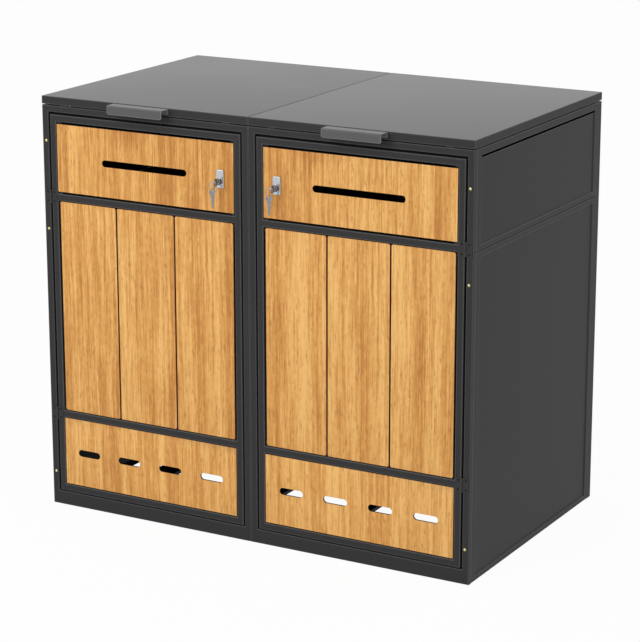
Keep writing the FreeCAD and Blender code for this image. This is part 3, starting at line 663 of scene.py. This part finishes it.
def addBlade(shape, look, start, end):
    # sections along u, each with a groove on both faces
    half = look["thickness"] / 2.0
    inset = half - look["groove"]
    edge = keyShape["edge"]
    steps = look["cuts"] * len(keyShape["cutProfile"])
    loops = []
    for i in range(steps + 1):
        u = start + (end - start) * (i / steps)
        low, top = bladeReach(look, i, steps)
        g0 = top * keyShape["grooveFrom"]
        g1 = top * keyShape["grooveTo"]
        outline = [(low, half - edge), (low + edge, half), (g0 - edge, half), (g0, inset), (g1, inset),
                   (g1 + edge, half), (top - edge, half), (top, half - edge)]
        outline += [(v, -t) for v, t in reversed(outline)]
        loops.append([shape.verts.new((u, t, v)) for v, t in outline])
    closedRun(shape, loops)


def makeKey(nodeName, body, look, bowRadius, bladeEnd, turn):
    shape = bmesh.new()
    addBow(shape, look, bowRadius)
    addBlade(shape, look, bowRadius * keyShape["bladeStart"], bladeEnd)
    bmesh.ops.recalc_face_normals(shape, faces=shape.faces)
    mesh = meshFrom(shape, "cut_" + nodeName)
    mesh.transform(turn)
    piece = placed("cut_" + nodeName, mesh, finishes["keySteel"])
    smoothFaces(mesh, keyShape["sharp"])
    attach(piece, body)
    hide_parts(nodeName)


def makeLockKey(side):
    # u runs along +Y into the plug, and the bow stands upright with its hole in front
    nodeName = "key_" + side
    low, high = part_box(nodeName)
    radius = (high.z - low.z) / 2.0
    middle = Vector(((low.x + high.x) / 2.0, low.y + radius, (low.z + high.z) / 2.0))
    turn = Matrix.Translation(middle) @ Matrix.Rotation(math.pi / 2, 4, "Z")
    makeKey(nodeName, side + "_key", keyLooks["key"], radius, high.y - middle.y, turn)


def makeSpareKey(side):
    # hangs by its hole, u pointing down
    nodeName = "spare_key_" + side
    low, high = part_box(nodeName)
    look = keyLooks["spare_key"]
    twist = math.radians(look["twist"])
    reach = (high.y - low.y) / 2.0
    radius = (reach - look["thickness"] / 2.0 * abs(math.sin(twist))) / math.cos(twist)
    middle = Vector(((low.x + high.x) / 2.0, (low.y + high.y) / 2.0, high.z - radius))
    turn = Matrix.Translation(middle) @ Matrix.Rotation(twist + math.pi / 2, 4, "Z")
    turn = turn @ Matrix.Rotation(math.pi / 2, 4, "Y")
    makeKey(nodeName, side + "_key_ring", look, radius, middle.z - low.z, turn)


# Split ring: one wire wound twice, with the jog where it changes layer; start, jog and end are in degrees

ringLook = {"steps": 120, "start": 24.0, "jogFrom": 338.0, "jogTo": 382.0, "end": 696.0, "gap": 0.00006,
            "softShare": 0.5, "sharp": 50.0}


def wireSection(half, look):
    # a flat wire with its corners taken off, across the ring and along its axis
    flat = (half - look["gap"]) / 2.0
    soft = flat * look["softShare"]
    return [(-half + soft, -flat), (half - soft, -flat), (half, -flat + soft), (half, flat - soft),
            (half - soft, flat), (-half + soft, flat), (-half, flat - soft), (-half, -flat + soft)]


def makeKeyRing(side):
    look = ringLook
    nodeName = "key_ring_" + side
    low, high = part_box(nodeName)
    middle = (low + high) / 2.0
    half = (high.y - low.y) / 2.0
    mean = (high.x - low.x) / 2.0 - half
    section = wireSection(half, look)
    shape = bmesh.new()
    loops = []
    for i in range(look["steps"] + 1):
        angle = look["start"] + (look["end"] - look["start"]) * i / look["steps"]
        share = min(1.0, max(0.0, (angle - look["jogFrom"]) / (look["jogTo"] - look["jogFrom"])))
        lift = half * (share * share * (3 - 2 * share) - 0.5)  # eases from one layer to the other
        turn = math.radians(angle)
        loops.append([shape.verts.new((middle.x + (mean + r) * math.cos(turn), middle.y + lift + t,
                                       middle.z + (mean + r) * math.sin(turn))) for r, t in section])
    closedRun(shape, loops)
    bmesh.ops.recalc_face_normals(shape, faces=shape.faces)
    mesh = meshFrom(shape, "wound_" + nodeName)
    piece = placed("wound_" + nodeName, mesh, finishes["keySteel"])
    smoothFaces(mesh, look["sharp"])
    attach(piece, side + "_key_ring")
    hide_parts(nodeName)


for side in sides:
    makeLockKey(side)
    makeSpareKey(side)
    makeKeyRing(side)
print("keys cut")


# Rivet and screw heads: a geometry nodes tree sets a domed head on every point

headShape = {
    "segments": 24, "rings": 12, "corners": 6,
    "belt": -0.001,  # just below the ball's widest ring; all under it is pressed flat
}


def domedBall(tree, given):
    # a ball scaled to the head's size, its upper half domed over the rim and its lower half flat
    ball = addNode(tree, "GeometryNodeMeshUVSphere")
    ball.inputs["Segments"].default_value = headShape["segments"]
    ball.inputs["Rings"].default_value = headShape["rings"]
    ball.inputs["Radius"].default_value = 1.0
    x, y, z = splitPoints(tree, addNode(tree, "GeometryNodeInputPosition").outputs[0])
    radius = given.outputs["Radius"]
    rim = given.outputs["Rim Height"]
    dome = maths(tree, "MULTIPLY", z, maths(tree, "SUBTRACT", given.outputs["Height"], rim))
    isUpper = maths(tree, "GREATER_THAN", z, headShape["belt"])
    height = maths(tree, "MULTIPLY", maths(tree, "ADD", dome, rim), isUpper)
    spot = joinPoints(tree, maths(tree, "MULTIPLY", x, radius), maths(tree, "MULTIPLY", y, radius), height)
    shaped = addNode(tree, "GeometryNodeSetPosition")
    feed(tree, shaped.inputs["Geometry"], ball.outputs["Mesh"])
    feed(tree, shaped.inputs["Position"], spot)
    return shaped.outputs["Geometry"]


def withHexHole(tree, given, head):
    # the head as it is, or with a six-sided hole where it is a screw's
    hole = addNode(tree, "GeometryNodeMeshCylinder")
    hole.inputs["Vertices"].default_value = headShape["corners"]
    feed(tree, hole.inputs["Radius"], given.outputs["Socket Radius"])
    feed(tree, hole.inputs["Depth"], maths(tree, "MULTIPLY", given.outputs["Socket Depth"], 2.0))
    raised = addNode(tree, "GeometryNodeTransform")
    feed(tree, raised.inputs["Geometry"], hole.outputs["Mesh"])
    feed(tree, raised.inputs["Translation"], joinPoints(tree, 0.0, 0.0, given.outputs["Height"]))
    cut = addNode(tree, "GeometryNodeMeshBoolean", operation="DIFFERENCE")
    feed(tree, cut.inputs["Mesh 1"], head)
    feed(tree, cut.inputs["Mesh 2"], raised.outputs["Geometry"])
    choice = addNode(tree, "GeometryNodeSwitch", input_type="GEOMETRY")
    feed(tree, choice.inputs["Switch"], given.outputs["Socketed"])
    feed(tree, choice.inputs["False"], head)
    feed(tree, choice.inputs["True"], cut.outputs["Mesh"])
    return choice.outputs[0]


def makeHeadTree():
    tree = bpy.data.node_groups.new("domedHeads", "GeometryNodeTree")
    sockets = tree.interface
    sockets.new_socket("Geometry", in_out="INPUT", socket_type="NodeSocketGeometry")
    for label in ("Radius", "Height", "Rim Height", "Socket Radius", "Socket Depth"):
        sockets.new_socket(label, in_out="INPUT", socket_type="NodeSocketFloat")
    sockets.new_socket("Socketed", in_out="INPUT", socket_type="NodeSocketBool")
    sockets.new_socket("Finish", in_out="INPUT", socket_type="NodeSocketMaterial")
    sockets.new_socket("Geometry", in_out="OUTPUT", socket_type="NodeSocketGeometry")
    given = addNode(tree, "NodeGroupInput")
    out = addNode(tree, "NodeGroupOutput")
    facing = addNode(tree, "GeometryNodeInputNamedAttribute", data_type="FLOAT_VECTOR")
    facing.inputs["Name"].default_value = "facing"
    aimed = addNode(tree, "FunctionNodeAlignRotationToVector", axis="Z")
    feed(tree, aimed.inputs["Vector"], facing.outputs[0])
    heads = addNode(tree, "GeometryNodeInstanceOnPoints")
    feed(tree, heads.inputs["Points"], given.outputs["Geometry"])
    feed(tree, heads.inputs["Instance"], withHexHole(tree, given, domedBall(tree, given)))
    feed(tree, heads.inputs["Rotation"], aimed.outputs[0])
    real = addNode(tree, "GeometryNodeRealizeInstances")
    feed(tree, real.inputs[0], heads.outputs[0])
    coloured = addNode(tree, "GeometryNodeSetMaterial")
    feed(tree, coloured.inputs["Geometry"], real.outputs[0])
    feed(tree, coloured.inputs["Material"], given.outputs["Finish"])
    feed(tree, out.inputs[0], coloured.outputs[0])
    return tree


headTree = makeHeadTree()
headSharp = 40.0
headLooks = {
    "rivet": {"Radius": 0.0042, "Height": 0.0026, "Rim Height": 0.0004, "Socket Radius": 0.001,
              "Socket Depth": 0.001, "Socketed": False, "Finish": "rivetBrass", "slot": "brass"},
    "hingeScrew": {"Radius": 0.0032, "Height": 0.0007, "Rim Height": 0.0003, "Socket Radius": 0.0011,
                   "Socket Depth": 0.0006, "Socketed": True, "Finish": "screwCoat", "slot": "hinge_coat"},
    "woodScrew": {"Radius": 0.0034, "Height": 0.0016, "Rim Height": 0.0004, "Socket Radius": 0.0013,
                  "Socket Depth": 0.0010, "Socketed": True, "Finish": "zincPlate", "slot": "zinc"},
    "lockScrew": {"Radius": 0.0022, "Height": 0.0012, "Rim Height": 0.0003, "Socket Radius": 0.0009,
                  "Socket Depth": 0.0008, "Socketed": True, "Finish": "zincPlate", "slot": "zinc"},
}


def setHeads(name, kind, points, facing, body, replaced=()):
    look = headLooks[kind]
    mesh = bpy.data.meshes.new(name)
    mesh.from_pydata(points, [], [])
    attribute = mesh.attributes.new("facing", "FLOAT_VECTOR", "POINT")
    for item in attribute.data:
        item.vector = facing
    piece = placed(name, mesh, finishes[look["Finish"]])
    modifier = piece.modifiers.new("heads", "NODES")
    modifier.node_group = headTree
    for socket in headTree.interface.items_tree:
        if socket.in_out == "INPUT" and socket.name in look:
            value = look[socket.name]
            modifier[socket.identifier] = finishes[value] if socket.name == "Finish" else value
    settled(piece, headSharp)
    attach(piece, body)
    for nodeName in replaced:
        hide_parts(nodeName)


fastening = {
    "hingeScrewSpread": 0.013,  # from the middle of a door hinge to a screw above or below
    "leafFlat": 0.0157,  # width of a door hinge leaf's flat
    "leafThickness": 0.0015,
    "lidScrewOffset": 0.01125,  # from the lid hinge's pin to the row in each leaf
    "lidScrewInset": 0.034,  # from a leaf's end to its first screw
    "lidScrewCount": 6,
    "boardScrewSpread": 0.045,  # from the middle of a board to a screw at either side
    "boardScrewInset": 0.0042,  # from a board's end to a screw
    "panelScrewInset": 0.0048,  # from a panel's side to a screw
    "panelScrewEnd": 0.022,  # from a panel's top or bottom to its first or last screw
    "flatThickness": 0.003,  # of the door frame's flats behind the wood
    "caseScrewInset": 0.0045,  # from the lock case's sides and underside to a screw
}
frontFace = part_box("front_frame_left")[0].y
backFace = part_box("rear_frame_left")[1].y
forward = (0.0, -1.0, 0.0)
backward = (0.0, 1.0, 0.0)

rivetPoints = []
for low, high in solidBoxes("front_frame_rivets"):
    rivetPoints.append(((low.x + high.x) / 2, frontFace, (low.z + high.z) / 2))
setHeads("stile_rivets", "rivet", rivetPoints, forward, "cabinet", ["front_frame_rivets"])


def doorHingeScrews(nodeName, flatSide):
    # two in each leaf, in the middle of its flat
    # flatSide is 1 where a left hinge's flat lies to the right of its pin, and -1 where it lies to the left
    points = []
    for low, high in solidBoxes(nodeName):
        sign = flatSide if (low.x + high.x) < 0 else -flatSide
        far = high.x if sign > 0 else low.x
        x = far - sign * fastening["leafFlat"] / 2
        for step in (-1, 1):
            z = (low.z + high.z) / 2 + step * fastening["hingeScrewSpread"]
            points.append((x, frontFace - fastening["leafThickness"], z))
    return points


def lidHingeScrews(nodeName, offset):
    # a row along each leaf, that far above the pin; the stop gussets are too short for one
    pinLow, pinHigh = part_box("lid_hinge_pins")
    z = (pinLow.z + pinHigh.z) / 2 + offset
    inset = fastening["lidScrewInset"]
    count = fastening["lidScrewCount"]
    points = []
    for low, high in solidBoxes(nodeName):
        run = high.x - low.x - 2 * inset
        if run < 0:
            continue
        for i in range(count):
            points.append((low.x + inset + run * i / (count - 1), backFace + fastening["leafThickness"], z))
    return points


def woodScrews(side):
    # four in each board and six in each panel
    points = []
    inset = fastening["boardScrewInset"]
    spread = fastening["boardScrewSpread"]
    for name in boardNames(side):
        low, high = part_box(name)
        middle = (low.x + high.x) / 2
        for x in (middle - spread, middle + spread):
            for z in (low.z + inset, high.z - inset):
                points.append((x, high.y + fastening["flatThickness"], z))
    inset = fastening["panelScrewInset"]
    end = fastening["panelScrewEnd"]
    for name in ("letter_panel_", "vent_panel_"):
        low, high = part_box(name + side)
        for x in (low.x + inset, high.x - inset):
            for z in (low.z + end, (low.z + high.z) / 2, high.z - end):
                points.append((x, high.y + fastening["flatThickness"], z))
    return points


def lockScrews(side):
    # the two above the key's axis mirror the two below it
    low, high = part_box("lock_body_" + side)
    keyLow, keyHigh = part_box("key_" + side)
    middle = (keyLow.z + keyHigh.z) / 2
    inset = fastening["caseScrewInset"]
    points = []
    for x in (low.x + inset, high.x - inset):
        for z in (low.z + inset, 2 * middle - low.z - inset):
            points.append((x, high.y, z))
    return points


lidOffset = fastening["lidScrewOffset"]
setHeads("door_hinge_screws_cabinet", "hingeScrew", doorHingeScrews("door_hinge_frame_leaves", -1),
         forward, "cabinet")
setHeads("lid_hinge_screws_cabinet", "hingeScrew", lidHingeScrews("lid_hinge_frame_leaves", -lidOffset),
         backward, "cabinet")
for side in sides:
    setHeads("door_hinge_screws_" + side, "hingeScrew", doorHingeScrews("door_hinge_leaves_" + side, 1),
             forward, side + "_door")
    setHeads("lid_hinge_screws_" + side, "hingeScrew", lidHingeScrews("lid_hinge_leaves_" + side, lidOffset),
             backward, side + "_lid")
    setHeads("wood_screws_" + side, "woodScrew", woodScrews(side), backward, side + "_door")
    setHeads("lock_screws_" + side, "lockScrew", lockScrews(side), backward, side + "_door")
print("rivets and screws set")


# Floor, light and camera

def seenDirectly(tree):
    # 1 for what the camera sees, straight or in a mirror or glass
    path = addNode(tree, "ShaderNodeLightPath")
    mirrored = maths(tree, "MAXIMUM", path.outputs["Is Glossy Ray"], path.outputs["Is Transmission Ray"])
    return maths(tree, "MAXIMUM", path.outputs["Is Camera Ray"], mirrored)


def mixShaders(tree, share, plain, shown, out):
    mixer = addNode(tree, "ShaderNodeMixShader")
    for socket, value in zip(mixer.inputs, (share, plain.outputs[0], shown.outputs[0])):
        feed(tree, socket, value)
    feed(tree, out.inputs["Surface"], mixer.outputs[0])


stageLook = {"size": 40.0, "colour": (236, 236, 236), "glow": 1.0, "cameraWhite": 0.96}


def makeFloor():
    # the camera sees the floor nearly white, with the store's shadow left in it
    look = stageLook
    half = look["size"] / 2.0
    corners = [(-half, -half, 0), (half, -half, 0), (half, half, 0), (-half, half, 0)]
    mesh = bpy.data.meshes.new("studioFloor")
    mesh.from_pydata(corners, [], [(0, 1, 2, 3)])
    material = bpy.data.materials.new("studioFloor")
    tree = emptyTree(material)
    out = addNode(tree, "ShaderNodeOutputMaterial")
    diffuse = addNode(tree, "ShaderNodeBsdfDiffuse")
    diffuse.inputs["Color"].default_value = toLinear(*look["colour"])
    glow = addNode(tree, "ShaderNodeEmission")
    glow.inputs["Strength"].default_value = look["glow"]
    share = maths(tree, "MULTIPLY", seenDirectly(tree), look["cameraWhite"])
    mixShaders(tree, share, diffuse, glow, out)
    placed("studioFloor", mesh, material)


worldLook = {"fill": 0.60, "seen": 1.0}


def makeWorld():
    world = bpy.data.worlds.new("studioWorld")
    bpy.context.scene.world = world
    tree = emptyTree(world)
    out = addNode(tree, "ShaderNodeOutputWorld")
    skies = []
    for strength in (worldLook["fill"], worldLook["seen"]):
        sky = addNode(tree, "ShaderNodeBackground")
        sky.inputs["Color"].default_value = grey(1.0)
        sky.inputs["Strength"].default_value = strength
        skies.append(sky)
    mixShaders(tree, seenDirectly(tree), skies[0], skies[1], out)


lamps = {
    "keyLamp": {"place": (-1.6, -4.4, 3.6), "size": 3.0, "power": 110.0},
    "fillLamp": {"place": (4.4, -2.0, 3.0), "size": 3.0, "power": 18.0},
}
lampAim = (0.0, 0.0, 0.6)


def makeLamps():
    for name, look in lamps.items():
        light = bpy.data.lights.new(name, "AREA")
        light.shape = "SQUARE"
        light.size = look["size"]
        light.energy = look["power"]
        lamp = bpy.data.objects.new(name, light)
        bpy.context.scene.collection.objects.link(lamp)
        place = Vector(look["place"])
        lamp.location = place
        lamp.rotation_euler = (Vector(lampAim) - place).to_track_quat("-Z", "Y").to_euler()


# angles in degrees; the lens axis meets the picture principalRise pixels above its middle
cameraLook = {
    "place": (3.2104, -5.6992, 2.33121), "azimuth": 29.4304, "elevation": 15.0654, "roll": -0.0432,
    "focalPixels": 2406.86, "imageWidth": 640.0, "principalRise": 12.84,
    "sensorWidth": 36.0, "clipEnd": 100.0,
}


def makeCamera():
    look = cameraLook
    data = bpy.data.cameras.new("photoCamera")
    data.sensor_fit = "HORIZONTAL"
    data.sensor_width = look["sensorWidth"]
    data.lens = look["focalPixels"] / look["imageWidth"] * look["sensorWidth"]
    data.shift_y = -look["principalRise"] / look["imageWidth"]
    data.clip_end = look["clipEnd"]
    camera = bpy.data.objects.new("photoCamera", data)
    bpy.context.scene.collection.objects.link(camera)
    azimuth = math.radians(look["azimuth"])
    elevation = math.radians(look["elevation"])
    turn = Matrix.Rotation(azimuth, 4, "Z") @ Matrix.Rotation(math.pi / 2 - elevation, 4, "X")
    turn = turn @ Matrix.Rotation(math.radians(look["roll"]), 4, "Z")
    camera.matrix_world = Matrix.Translation(Vector(look["place"])) @ turn
    bpy.context.scene.camera = camera


makeFloor()
makeWorld()
makeLamps()
makeCamera()
bpy.context.scene.view_settings.view_transform = "Standard"
print("studio set")
